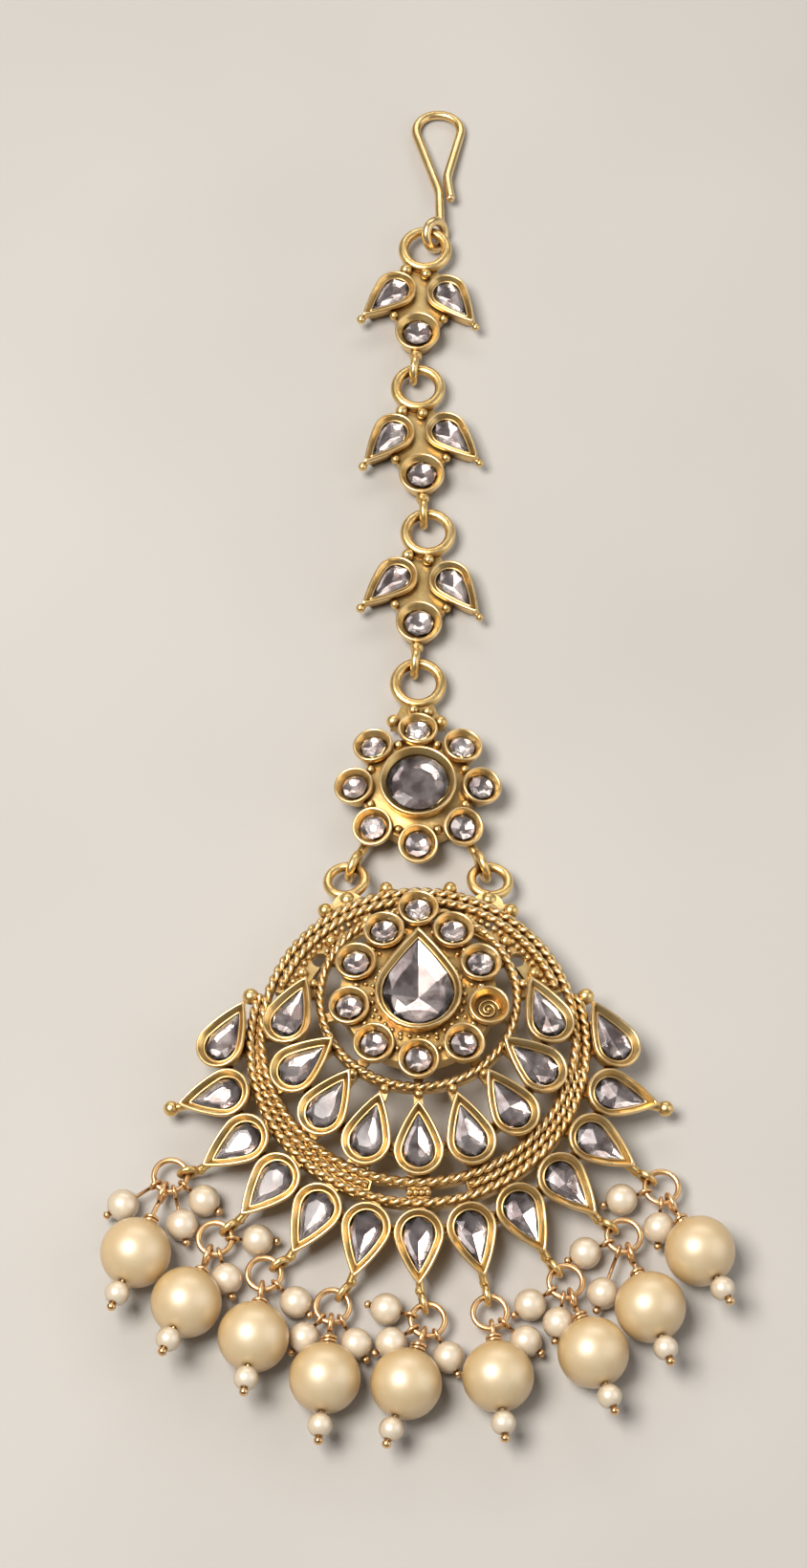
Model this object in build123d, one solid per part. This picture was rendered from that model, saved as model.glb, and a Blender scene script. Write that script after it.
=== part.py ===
from build123d import *
from build123d.topology import SkipClean
import os
from math import atan2, cos, degrees, hypot, radians, sin, sqrt

# Maang tikka: a hair hook, three leaf links, a flower setting and a domed, pierced pendant
# with nine pearl drops, lying face up on a flat surface.
# Millimetres. The working frame has its origin at the middle of the pendant's medallion, on
# the surface that the piece lies on: +Y runs towards the hook, +Z is up, out of the front.
# place_all() moves the finished pieces so that the origin is under the middle of the whole.

# ---- driving sizes ---------------------------------------------------------------------
RIM_HEIGHT = 1.9            # rim of a small setting above the metal that carries it
BASE_DEPTH = 0.5            # how far a setting reaches down into that metal
DRAFT, LINK_DRAFT = 0.6, 0.7    # how much a setting is drawn in from its rim to its bottom
WALL = 0.24                 # bezel wall at its rim
PEAR_SEAT, LEAF_SEAT, CENTRE_SEAT, HALO_SEAT = 0.72, 0.68, 0.62, 0.6    # rim to stone seat
SEAT_DEPTH = 0.55           # the bezel's inner slope, rim to seat
POCKET_DEPTH = 1.3          # rim to pocket floor
STONE_GAP = 0.09            # stone to pocket, all round
STONE_DROP = 0.12           # table below the rim
STONE_HEIGHT = 1.05

PEAR_R, PEAR_TIP, PEAR_SHOULDER = 2.45, 5.05, 71    # small pears, 7.5 long
HALO_R = 2.05
CENTRE_R, CENTRE_TIP, CENTRE_SHOULDER = 4.35, 7.0, 57
CENTRE_RIM = 2.4

DOME_R, DOME_TOP = 70.0, 5.9          # pendant dome: radius and height of its web's top
DOME_MID = (0.0, -5.6)
WEB = 1.0                             # thickness of the pierced web
GROUND_R, GROUND_LIFT = 7.9, 0.9         # raised ground inside the medallion
FLOWER_DOME_R, FLOWER_DOME_TOP = 28.0, 2.45
FLOWER_MID = (0.0, 23.6)
FLOWER_LIFT = 1.0                        # raised ground between the petals
PETALS, PETAL_RING = 8, 6.75
FLOWER_STONE_R = 4.0

ROPE = 0.3                            # radius of a rope wire's core
ROPE_IN_R, ROPE_IN_Y = 15.9, -4.9     # the large rope circle
ROPE_OUT_R, ROPE_OUT_Y = 17.0, -5.8   # the lower rope arc outside it
ROPE_UP_R = 14.9                      # the second row over the top
ROPE_MED_R, ROPE_MED_Y = 10.0, -1.2   # the rope circle round the medallion
ROPE_BAND = 0.42                      # half width of the metal under a rope

PENDANT_RING = (7.45, 13.05)          # middle of the right ring
PENDANT_RING_R, PENDANT_RING_WIRE = 1.95, 0.5
LINK_RING_R, LINK_RING_WIRE = 2.45, 0.57
EYE_R, EYE_WIRE = 1.36, 0.44          # upright eyes of the links and the flower
CHAIN_Z = 1.83                        # height of the chain's rings and eyes

LEAF_R, LEAF_TIP = 2.25, 5.1
LEAF_TOP = 2.6                        # rim height of a link's settings
LINK_BODY = 16.07                     # middle of a link's ring to the middle of its eye

TIP_EYE_R, TIP_EYE_WIRE, TIP_EYE_Z = 0.87, 0.33, 1.85
TIP_EYE_REACH = 1.7                   # pear tip to the middle of its eye
JUMP_R, JUMP_WIRE, JUMP_Z, JUMP_DIP = 1.66, 0.24, 1.8, 4.0
PEARL_R, SIDE_PEARL_R, END_PEARL_R = 3.5, 1.6, 1.23
PIN, SIDE_PIN = 0.25, 0.19
PIN_LOOP_R, SIDE_LOOP_R = 1.0, 0.6
PIN_HEAD, SIDE_HEAD = 0.42, 0.34
HOLE_GAP = 0.1

FLOWER_EYE_Z = 1.9

HOOK_WIRE, HOOK_EYE_R = 0.52, 1.55
HOOK_EYE = (2.1, 94.04, 1.9)        # middle of the hook's eye
HOOK_EYE_AXIS = (0.754, -0.401, 0.52)
HOOK_SLOPE = 4.2                      # the loop leans down to the surface
# route of the hook's wire from its eye, on the sloping plane through the eye's middle
HOOK_ROUTE = [(0.55, 1.5), (0.45, 6.2), (-3.0, 17.6), (3.65, 17.6), (1.35, 8.2), (1.75, 5.4)]
HOOK_BENDS = [5.0, 2.45, 2.45, 3.5]

# ---- tables ----------------------------------------------------------------------------
# Settings of the medallion's halo: x, y of the rim's middle; 0 in "stone" is the empty one.
HALO = [
    dict(x=0.0, y=8.3, stone=1),
    dict(x=3.6, y=5.7, stone=1),
    dict(x=6.35, y=1.95, stone=1),
    dict(x=7.15, y=-2.95, stone=0),
    dict(x=4.6, y=-7.1, stone=1),
    dict(x=0.0, y=-8.85, stone=1),
    dict(x=-4.5, y=-7.1, stone=1),
    dict(x=-7.0, y=-2.95, stone=1),
    dict(x=-6.35, y=2.05, stone=1),
    dict(x=-3.5, y=5.7, stone=1),
]
# Drops, left to right. eye: bearing of the pear tip's upright eye. pearl, reach, rise: bearing
# and distance of the large pearl from its jump ring, and how far its lower end is lifted.
# side: (bearing, reach) of each side pearl from the jump ring.
DROPS = [
    dict(tip=-60, eye=-169.2, pearl=-109.7, reach=9.22, rise=10,
         side=[(-146.9, 5.57), (-37.0, 4.25), (-76.0, 5.28)]),
    dict(tip=-45, eye=-142.0, pearl=-109.9, reach=7.64, rise=19,
         side=[(-1.6, 4.24), (-73.5, 4.33)]),
    dict(tip=-30, eye=-147.0, pearl=-97.2, reach=7.09, rise=16,
         side=[(-42.4, 4.26)]),
    dict(tip=-15, eye=-126.8, pearl=-94.9, reach=7.85, rise=3,
         side=[(-131.2, 4.25), (-58.6, 4.43)]),
    dict(tip=0, eye=-75.0, pearl=-107.1, reach=7.33, rise=3,
         side=[(163.9, 4.28), (-147.7, 4.29), (-61.7, 4.26)]),
    dict(tip=15, eye=-79.9, pearl=-84.5, reach=7.07, rise=5,
         side=[(-39.4, 4.55)]),
    dict(tip=30, eye=-51.3, pearl=-72.5, reach=8.18, rise=6,
         side=[(-146.9, 4.25), (-100.8, 4.26)]),
    dict(tip=45, eye=-33.0, pearl=-73.9, reach=8.25, rise=13,
         side=[(-110.6, 6.29), (-156.2, 4.24)]),
    dict(tip=60, eye=-32.7, pearl=-64.8, reach=8.04, rise=13,
         side=[(-163.2, 4.24), (-95.4, 4.26)]),
]
# Leaf links from the hook down: middle of the ring, and how the link is turned on the surface.
LINKS = [
    dict(x=0.95, y=92.05, turn=-4.5),
    dict(x=0.1, y=73.6, turn=2.0),
    dict(x=1.15, y=55.03, turn=-5.0),
]


# ---- outlines --------------------------------------------------------------------------
def polar(r, bearing):
    """Point at a distance and bearing from the origin."""
    return r * cos(radians(bearing)), r * sin(radians(bearing))


def pear_edges(r, tip, shoulder, inset=0.0):
    """Edges of a pear: round end about the origin, point on +X at tip, curved sides.

    inset draws it smaller by that much all round.
    """
    x, y = polar(r, shoulder)
    point = 2 * atan2(y, tip - x) - radians(90 - shoulder)
    r, tip = r - inset, tip - inset / sin(point)
    x, y = polar(r, shoulder)
    slope = (sin(radians(shoulder)), cos(radians(shoulder)))
    back = ThreePointArc((x, y), (-r, 0), (x, -y))
    low = TangentArc((x, -y), (tip, 0), tangent=slope)
    top = TangentArc((x, y), (tip, 0), tangent=(slope[0], -slope[1]))
    return back, low, top


def pear(r, tip, shoulder, inset=0.0):
    """Pear outline."""
    return Face(Wire(list(pear_edges(r, tip, shoulder, inset))))


def disc(r):
    """Round outline about the origin."""
    return Face(Wire([Edge.make_circle(r)]))


def pear_points(r, tip, shoulder, inset):
    """Corners of a cut pear: seven round the back, then the sides and the point."""
    back, low, top = pear_edges(r, tip, shoulder, inset)
    corners = [top @ 0.5] + [back @ (i / 6) for i in range(7)] + [low @ 0.5, low @ 1]
    return [(corner.X, corner.Y) for corner in corners]


def round_points(r, sides):
    """Corners of a round cut stone."""
    return [polar(r, 360 * (i + 0.5) / sides) for i in range(sides)]


# ---- solids ----------------------------------------------------------------------------
def cut_stone(corners, place, top, height, centre=(0.0, 0.0)):
    """Faceted stone on a plane: table, crown, girdle and flat-keeled pavilion.

    corners go round the girdle; top is the table's height over the plane.
    """
    levels = [
        (0.52, top),
        (1.0, top - 0.36 * height),
        (1.0, top - 0.48 * height),
        (0.45, top - height),
    ]
    rings = []
    for scale, z in levels:
        rings.append([
            place.from_local_coords((centre[0] + (x - centre[0]) * scale,
                                     centre[1] + (y - centre[1]) * scale, z))
            for x, y in corners
        ])
    count = len(corners)
    faces = [Face(Wire.make_polygon(rings[0])), Face(Wire.make_polygon(rings[-1]))]
    for upper, lower in zip(rings, rings[1:]):
        for i in range(count):
            j = (i + 1) % count
            faces.append(Face(Wire.make_polygon([upper[i], upper[j], lower[j], lower[i]])))
    return Solid(Shell(faces))


def prism(face, place, low, high):
    """Outline extruded between two heights over a plane."""
    return extrude(place * Pos(0, 0, low) * face, high - low, dir=place.z_dir)


def pocket(shapes, place, rim, depth=POCKET_DEPTH):
    """Recess of a setting: a slope from the rim to the seat, then straight to the floor."""
    wide, narrow = shapes
    slope = loft([place * Pos(0, 0, rim) * wide, place * Pos(0, 0, rim - SEAT_DEPTH) * narrow],
                 ruled=True)
    mouth = prism(wide, place, rim, rim + 0.3)
    well = prism(narrow, place, rim - depth, rim - SEAT_DEPTH + 0.02)
    return [slope, mouth, well]


def pear_pocket(r, tip, shoulder, seat=PEAR_SEAT):
    """Rim and seat outlines of a pear setting."""
    return pear(r, tip, shoulder, WALL), pear(r, tip, shoulder, seat)


def round_pocket(r, seat=HALO_SEAT):
    """Rim and seat outlines of a round setting."""
    return disc(r - WALL), disc(r - seat)


def cup(rim, bottom, place, depth):
    """Body of a setting from its bottom outline up to its rim on the plane."""
    return loft([place * Pos(0, 0, -depth) * bottom, place * rim], ruled=True)


def pear_cup(r, tip, shoulder, place, depth, draft=DRAFT):
    """Body of a pear setting."""
    return cup(pear(r, tip, shoulder), pear(r, tip, shoulder, draft), place, depth)


def round_cup(r, place, depth, draft=DRAFT):
    """Body of a round setting."""
    return cup(disc(r), disc(r - draft), place, depth)


def ring(r, wire, place):
    """Closed ring of round wire, flat in the plane."""
    return Solid.make_torus(r, wire, place)


def rod(start, end, r):
    """Round rod between two points."""
    run = Vector(*end) - Vector(*start)
    return Solid.make_cylinder(r, run.length, Plane(start, z_dir=run))


def ball(r, at, axis=(0, 0, 1)):
    """Ball about a point, its poles on the axis."""
    return Solid.make_sphere(r, Plane(at, z_dir=axis), -90, 90, 360)


def one(shape):
    """The single solid of a fused shape."""
    solids = shape.solids()
    assert len(solids) == 1, f"expected one solid, got {len(solids)}"
    return solids[0]


# ---- domes -----------------------------------------------------------------------------
class Dome:
    """Spherical surface that carries settings; lift is a height over the metal's top."""

    def __init__(self, radius, top, mid):
        self.radius, self.top, self.mid = radius, top, mid
        self.heart = Vector(mid[0], mid[1], top - radius)

    def height(self, x, y, lift=0.0):
        r = self.radius + lift
        return self.heart.Z + sqrt(r * r - (x - self.mid[0]) ** 2 - (y - self.mid[1]) ** 2)

    def plane(self, x, y, lift=0.0, bearing=0.0):
        """Plane tangent to the dome, its X axis along a bearing on the surface below."""
        at = Vector(x, y, self.height(x, y, lift))
        normal = (at - self.heart).normalized()
        along = Vector(*polar(1, bearing), 0)
        along = along - normal * along.dot(normal)
        return Plane(at, x_dir=along, z_dir=normal)

    def raised(self, lift):
        return Dome(self.radius + lift, self.top + lift, self.mid)

    def shell(self, face, thickness):
        """The dome's metal over an outline in plan."""
        block = extrude(Pos(0, 0, -2) * face, self.top + 4, dir=(0, 0, 1))
        outer = ball(self.radius, self.heart)
        inner = ball(self.radius - thickness, self.heart)
        return (block & outer) - inner


PENDANT = Dome(DOME_R, DOME_TOP, DOME_MID)
FLOWER = Dome(FLOWER_DOME_R, FLOWER_DOME_TOP, FLOWER_MID)


def bar(start, end, width):
    """Flat bar in plan between two points."""
    dx, dy = end[0] - start[0], end[1] - start[1]
    place = Pos((start[0] + end[0]) / 2, (start[1] + end[1]) / 2) * Rot(0, 0, degrees(atan2(dy, dx)))
    return place * Face.make_rect(hypot(dx, dy), width)


def band(r, y, half, start=0, sweep=360):
    """Band of metal under a rope: part of an annulus in plan."""
    if sweep == 360:
        return Pos(0, y) * (disc(r + half) - disc(r - half))
    outer = CenterArc((0, y), r + half, start, sweep)
    inner = CenterArc((0, y), r - half, start, sweep)
    sides = [Line(outer @ 0, inner @ 0), Line(outer @ 1, inner @ 1)]
    return Face(Wire([outer, sides[1], inner, sides[0]]))


# ---- pendant ---------------------------------------------------------------------------
def outer_pears():
    """Planes of the thirteen outer pears at their rims, left to right, points outwards."""
    places = []
    for step in range(-6, 7):
        x, y = polar(20.1, -90 + 15 * step)
        bearing = -90 + 15 * step
        if abs(step) == 6:
            bearing = 90 + 31 * step / 6
        if abs(step) == 5:
            bearing += 6 * step / 5
        places.append(PENDANT.plane(x, y - 6.2, RIM_HEIGHT, bearing))
    return places


def inner_pears():
    """Planes of the nine inner pears at their rims, left to right, points to the medallion."""
    places = []
    for step in range(-4, 5):
        x, y = polar(13.35, -90 + 23.2 * step)
        y -= 4.9
        bearing = degrees(atan2(-y, -x))
        if abs(step) == 4:
            bearing = 90 + 23.5 * step / 4
        places.append(PENDANT.plane(x, y, RIM_HEIGHT, bearing))
    return places


def halo_places():
    """Planes of the halo's settings at their rims, with the table's rows."""
    return [(PENDANT.plane(row["x"], row["y"], RIM_HEIGHT), row) for row in HALO]


def plan(place, x=0.0):
    """Plan point of a place's local X."""
    at = place.from_local_coords((x, 0, -RIM_HEIGHT - 0.4))
    return at.X, at.Y


def web_outline():
    """Plan of the pierced web: rope bands, spokes and the ears of the two rings."""
    pieces = [
        band(ROPE_IN_R, ROPE_IN_Y, ROPE_BAND),
        band(ROPE_OUT_R, ROPE_OUT_Y, ROPE_BAND, -199, 218),
        band(ROPE_UP_R, ROPE_IN_Y, ROPE_BAND, 18, 144),
        band(ROPE_MED_R, ROPE_MED_Y, ROPE_BAND),
    ]
    for side in (-1, 1):
        # the two lower ropes lie on one band, but for a slot each side of the middle
        start = -73 if side > 0 else -195
        pieces.append(band(16.45, -5.35, 0.65, start, 88))
        # filled shoulders inside the upper ropes, and the ears of the two rings
        pieces.append(band(13.5, ROPE_IN_Y, 1.2, 22 if side > 0 else 110, 48))
        pieces.append(Pos(side * 7.2, 9.7) * disc(1.6))
        pieces.append(Pos(side * 9.1, 9.0) * disc(0.9))
        pieces.append(Pos(side * 3.2, 11.2) * disc(0.85))
    pieces.append(bar((0, -20.6), (0, -23.0), 2.2))
    pieces.append(Pos(0, ROPE_MED_Y) * disc(GROUND_R))
    for place, row in halo_places():
        # spokes of the medallion
        away = atan2(row["y"] - ROPE_MED_Y, row["x"])
        pieces.append(bar((0, ROPE_MED_Y), (ROPE_MED_R * cos(away),
                                            ROPE_MED_Y + ROPE_MED_R * sin(away)), 0.95))
    inner = inner_pears()
    for place in inner:
        tip = plan(place, PEAR_TIP - 1)
        away = atan2(tip[1] - ROPE_MED_Y, tip[0])
        end = (ROPE_MED_R * cos(away), ROPE_MED_Y + ROPE_MED_R * sin(away))
        pieces.append(bar(tip, end, 0.9))
        back = plan(place)
        pieces.append(bar(back, tip, 0.9))
        away = atan2(back[1] - ROPE_IN_Y, back[0])
        pieces.append(bar(back, (ROPE_IN_R * cos(away), ROPE_IN_Y + ROPE_IN_R * sin(away)), 2.2))
    outer = outer_pears()
    for place in outer:
        back = plan(place)
        away = atan2(back[1] - ROPE_OUT_Y, back[0])
        pieces.append(bar(back, (ROPE_OUT_R * cos(away), ROPE_OUT_Y + ROPE_OUT_R * sin(away)), 1.3))
    for row in (inner, outer):
        for left, right in zip(row, row[1:]):
            pieces.append(bar(plan(left), plan(right), 0.95))
    openings = []
    for side in (-1, 1):
        openings.append(Pos(side * 7.5, 7.2) * disc(0.8))
        openings.append(Pos(side * 10.05, 3.15) * disc(0.8))
    return pieces[0].fuse(*pieces[1:]).cut(*openings).clean()


def rope_arc(r, y, start=0.0, turn=360.0, lift=0.12):
    """Rope core: a ring, or part of one, lying on the dome."""
    low = PENDANT.plane(0, y - r, lift).origin
    high = PENDANT.plane(0, y + r, lift).origin
    across = high - low
    place = Plane((low + high) / 2, x_dir=(1, 0, 0), z_dir=Vector(1, 0, 0).cross(across))
    halves = []
    for half in (0, 1):
        path = place * CenterArc((0, 0), across.length / 2, start + half * turn / 2, turn / 2)
        section = Plane(path @ 0, z_dir=path % 0) * disc(ROPE)
        halves.append(sweep(section, path).solids()[0])
    return halves


def granule(x, y, r, lift=0.15):
    """Small ball half sunk in the pendant."""
    return ball(r, (x, y, PENDANT.height(x, y, lift)))


def pendant_granules():
    """Balls that dress the joins of the pendant."""
    grains = []
    for side in (-1, 1):
        grains.append(granule(side * 17.05, -0.6, 0.85, 0.3))
        grains.append(granule(side * 9.55, 8.95, 0.78, 0.3))
        grains.append(granule(side * 3.3, 11.45, 0.7, 0.3))
        for bearing in (29, 48.5, 67):
            x, y = polar(13.5, bearing)
            grains.append(granule(side * x, y + ROPE_IN_Y, 0.58, 0.3))
    for row, reach in ((inner_pears(), 0.5), (outer_pears(), 0.5)):
        for left, right in zip(row, row[1:]):
            a, b = plan(left), plan(right)
            grains.append(granule((a[0] + b[0]) / 2, (a[1] + b[1]) / 2, reach, 0.25))
    for place in inner_pears():
        tip = plan(place, PEAR_TIP)
        x, y = polar(ROPE_MED_R + 0.75, degrees(atan2(tip[1] - ROPE_MED_Y, tip[0])))
        grains.append(granule(x, y + ROPE_MED_Y, 0.5, 0.2))
    return grains


def tip_point(place, reach, z):
    """Point beyond a pear's tip, in plan, at a height over the surface."""
    at = place.from_local_coords((PEAR_TIP, 0, -RIM_HEIGHT / 2))
    return at.X + reach[0], at.Y + reach[1], z


def drop_tip(drop):
    """Middle of the upright eye at a drop's pear tip, and of the jump ring in it."""
    place = outer_pears()[6 + drop["tip"] // 15]
    eye = tip_point(place, polar(TIP_EYE_REACH, drop["eye"]), TIP_EYE_Z)
    out = polar(JUMP_R + 0.14, drop["eye"])
    return eye, (eye[0] + out[0], eye[1] + out[1], JUMP_Z)


def pendant_frame():
    """The pendant's metal: web, settings, ropes, granules, rings and tip eyes, soldered."""
    cups = []
    holes = []
    depth = RIM_HEIGHT + BASE_DEPTH
    for place in outer_pears() + inner_pears():
        cups.append(pear_cup(PEAR_R, PEAR_TIP, PEAR_SHOULDER, place, depth))
        holes += pocket(pear_pocket(PEAR_R, PEAR_TIP, PEAR_SHOULDER), place, 0)
    for place, row in halo_places():
        cups.append(round_cup(HALO_R, place, depth))
        holes += pocket(round_pocket(HALO_R), place, 0)
    place = PENDANT.plane(0, -1.6, CENTRE_RIM, 90)
    cups.append(pear_cup(CENTRE_R, CENTRE_TIP, CENTRE_SHOULDER, place, CENTRE_RIM + BASE_DEPTH, 0.4))
    holes += pocket(pear_pocket(CENTRE_R, CENTRE_TIP, CENTRE_SHOULDER, CENTRE_SEAT), place, 0, 1.9)

    ground = PENDANT.raised(GROUND_LIFT).shell(Pos(0, ROPE_MED_Y) * disc(GROUND_R), WEB + 0.3)
    frame = PENDANT.shell(web_outline(), WEB).fuse(ground).fuse(*cups)
    for rope in (
        rope_arc(ROPE_IN_R, ROPE_IN_Y),
        rope_arc(ROPE_OUT_R, ROPE_OUT_Y, -198, 216),
        rope_arc(ROPE_UP_R, ROPE_IN_Y, 20, 140),
        rope_arc(ROPE_MED_R, ROPE_MED_Y),
    ):
        frame = frame.fuse(*rope)
    frame = frame.fuse(*pendant_granules())
    frame = frame.fuse(*pendant_rings())
    for drop in DROPS:
        frame = frame.fuse(*tip_eye(drop))
    return one(frame.cut(*holes))


def pendant_rings():
    """The pendant's two hanging rings and the ball finials of its widest pears."""
    solids = []
    for side in (-1, 1):
        place = PENDANT.plane(side * PENDANT_RING[0], PENDANT_RING[1], -0.5)
        boss = ball(0.9, PENDANT.plane(side * 7.3, 10.5, -0.5).origin)
        solids.append(one(ring(PENDANT_RING_R, PENDANT_RING_WIRE, place).fuse(boss)))
        pear_place = outer_pears()[6 + side * 5]
        at = pear_place.from_local_coords((PEAR_TIP + 1.0, 0, -RIM_HEIGHT / 2))
        root = pear_place.from_local_coords((PEAR_TIP - 1.45, 0, -RIM_HEIGHT / 2 - 0.1))
        solids.append(one(ball(0.8, at, at - root).fuse(rod(root, at, 0.45))))
    return solids


def tip_eye(drop):
    """Upright eye at the point of a pear, with its neck and granule."""
    place = outer_pears()[6 + drop["tip"] // 15]
    eye, jump = drop_tip(drop)
    root = place.from_local_coords((PEAR_TIP - 1.2, 0, -RIM_HEIGHT / 2))
    x, y = polar(TIP_EYE_R, drop["eye"])
    across = Plane(eye, x_dir=(0, 0, 1), z_dir=(*polar(1, drop["eye"] + 90), 0))
    return [
        ring(TIP_EYE_R, TIP_EYE_WIRE, across),
        rod(root, (eye[0] - x, eye[1] - y, eye[2]), 0.42),
        ball(0.5, (eye[0] - 1.5 * x, eye[1] - 1.5 * y, eye[2] + 0.1)),
    ]


def stones(rows):
    """Cut stones for a list of (plane, corners, height)."""
    return [cut_stone(corners, place, -STONE_DROP, height) for place, corners, height in rows]


def pendant_stones():
    """Stone nodes of the pendant."""
    small = pear_points(PEAR_R, PEAR_TIP, PEAR_SHOULDER, PEAR_SEAT + STONE_GAP)
    centre = pear_points(CENTRE_R, CENTRE_TIP, CENTRE_SHOULDER, CENTRE_SEAT + STONE_GAP)
    halo = round_points(HALO_R - HALO_SEAT - STONE_GAP, 12)
    return {
        "pendant_centre_stone": stones([(PENDANT.plane(0, -1.6, CENTRE_RIM, 90), centre, 1.6)]),
        "halo_stones": stones([(place, halo, STONE_HEIGHT) for place, row in halo_places()
                               if row["stone"]]),
        "inner_pear_stones": stones([(place, small, STONE_HEIGHT) for place in inner_pears()]),
        "outer_pear_stones": stones([(place, small, STONE_HEIGHT) for place in outer_pears()]),
    }


# ---- flower ----------------------------------------------------------------------------
def petal_places():
    """Planes of the flower's petals at their rims, from the top round to the left."""
    x, y = FLOWER_MID
    places = []
    for i in range(PETALS):
        dx, dy = polar(PETAL_RING, 90 - 360 * i / PETALS)
        places.append(FLOWER.plane(x + dx, y + dy, RIM_HEIGHT))
    return places


def flower_eye(side):
    """Middle of a lower eye of the flower, in the pendant's ring, and its bearing."""
    ring_place = PENDANT.plane(side * PENDANT_RING[0], PENDANT_RING[1], -0.5)
    bearing = 90 + side * 22
    x, y = polar(PENDANT_RING_R + 0.1, bearing)
    z = FLOWER_EYE_Z
    return (ring_place.origin.X + x, ring_place.origin.Y + y, z), bearing


def flower_setting():
    """The flower's metal: domed disc, settings, top ring, granules and two lower eyes."""
    mid_x, mid_y = FLOWER_MID
    frame = FLOWER.raised(FLOWER_LIFT).shell(Pos(mid_x, mid_y) * disc(5.9), WEB + FLOWER_LIFT)
    cups = []
    holes = []
    for place in petal_places():
        cups.append(round_cup(HALO_R, place, RIM_HEIGHT + 0.45))
        holes += pocket(round_pocket(HALO_R), place, 0)
    place = FLOWER.plane(mid_x, mid_y, CENTRE_RIM - 0.1)
    cups.append(round_cup(FLOWER_STONE_R, place, CENTRE_RIM + 0.4, 0.3))
    holes += pocket(round_pocket(FLOWER_STONE_R, 0.7), place, 0, 1.8)
    frame = frame.fuse(*cups)
    plate = Face(Wire.make_polygon([(-1.5, 34.2), (1.5, 34.2), (2.9, 31.2), (-2.9, 31.2)]))
    frame = frame.fuse(extrude(Pos(0, 0, 1.0) * plate, 1.1, dir=(0, 0, 1)))
    frame = frame.fuse(ring(LINK_RING_R, LINK_RING_WIRE, Plane((0.05, 36.5, CHAIN_Z))))
    grains = [
        ball(0.72, (-2.6, 31.8, 2.2)),
        ball(0.58, (-0.45, 33.1, 2.3)),
        ball(0.58, (1.05, 32.9, 2.3)),
        ball(0.7, (2.45, 31.7, 2.2)),
    ]
    for i in range(PETALS):
        dx, dy = polar(5.35, 90 - 360 * (i + 0.5) / PETALS)
        lift = FLOWER_LIFT + 0.15
        grains.append(ball(0.5, (mid_x + dx, mid_y + dy, FLOWER.height(dx + mid_x, dy + mid_y, lift))))
    frame = frame.fuse(*grains)
    for side in (-1, 1):
        eye, bearing = flower_eye(side)
        across = Plane(eye, x_dir=(0, 0, 1), z_dir=(*polar(1, bearing + 90), 0))
        petal = petal_places()[4 + side * -1]
        root = petal.from_local_coords((0, 0, -RIM_HEIGHT))
        x, y = polar(EYE_R, bearing)
        end = Vector(eye[0] + x, eye[1] + y, eye[2])
        frame = frame.fuse(ring(EYE_R, EYE_WIRE, across), rod(root, end, 0.5))
    return one(frame.cut(*holes))


def flower_stones():
    """Stone nodes of the flower."""
    centre = round_points(FLOWER_STONE_R - 0.7 - STONE_GAP, 16)
    petal = round_points(HALO_R - HALO_SEAT - STONE_GAP, 12)
    place = FLOWER.plane(*FLOWER_MID, CENTRE_RIM - 0.1)
    return {
        "flower_centre_stone": stones([(place, centre, 1.5)]),
        "flower_petal_stones": stones([(place, petal, STONE_HEIGHT) for place in petal_places()]),
    }


# ---- leaf links ------------------------------------------------------------------------
def link_places(link):
    """Rim planes of a link's two leaves and its round setting."""
    base = Pos(link["x"], link["y"], 0) * Rot(0, 0, link["turn"])
    places = []
    for side in (-1, 1):
        local = Location((side * 2.86, -5.9, LEAF_TOP), (0, 0, -90 + side * 41.4))
        places.append(Plane(base * local))
    places.append(Plane(base * Location((0, -11.34, LEAF_TOP))))
    return base, places


def leaf_link(link):
    """Metal of one leaf link: ring, two leaf settings, a round one, granules and lower eye."""
    base, places = link_places(link)
    depth = LEAF_TOP - 0.02
    cups = [pear_cup(LEAF_R, LEAF_TIP, PEAR_SHOULDER, place, depth, LINK_DRAFT)
            for place in places[:2]]
    cups.append(round_cup(PEAR_R, places[2], depth, LINK_DRAFT))
    holes = []
    for place in places[:2]:
        holes += pocket(pear_pocket(LEAF_R, LEAF_TIP, PEAR_SHOULDER, LEAF_SEAT), place, 0)
    holes += pocket(round_pocket(PEAR_R, 0.75), places[2], 0)
    outline = [(-1.3, -2.0), (1.3, -2.0), (3.0, -5.5), (3.4, -8.0), (1.6, -11.0), (-1.6, -11.0),
               (-3.4, -8.0), (-3.0, -5.5)]
    plate = extrude(base * Pos(0, 0, 0.6) * Face(Wire.make_polygon(outline)), 1.0, dir=(0, 0, 1))
    frame = plate.fuse(*cups)
    centre = base * Location((0, 0, CHAIN_Z))
    eye = base * Location((0, -LINK_BODY, CHAIN_Z), (0, 90, 0))
    frame = frame.fuse(ring(LINK_RING_R, LINK_RING_WIRE, Plane(centre)))
    start = (base * Location((0, -12.4, CHAIN_Z))).position
    end = (base * Location((0, -LINK_BODY + EYE_R, CHAIN_Z))).position
    frame = frame.fuse(rod(start, end, 0.55)).fuse(ring(EYE_R, EYE_WIRE, Plane(eye)))
    grains = [
        (-1.95, -3.15, 0.68, 2.2),
        (0.35, -3.45, 0.6, 2.1),
        (-2.8, -9.1, 0.5, 1.8),
        (2.75, -9.0, 0.5, 1.7),
        (0.0, -14.2, 0.72, CHAIN_Z),
    ]
    for x, y, r, z in grains:
        frame = frame.fuse(ball(r, (base * Location((x, y, z))).position, (0.3, 0.2, 1)))
    for place, r in zip(places[:2], (0.5, 0.42)):
        tip = place.from_local_coords((LEAF_TIP + 0.3, 0, -0.7))
        frame = frame.fuse(ball(r, tip), rod(place.from_local_coords((LEAF_TIP - 1, 0, -0.7)), tip, 0.33))
    return one(frame.cut(*holes))


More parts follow.
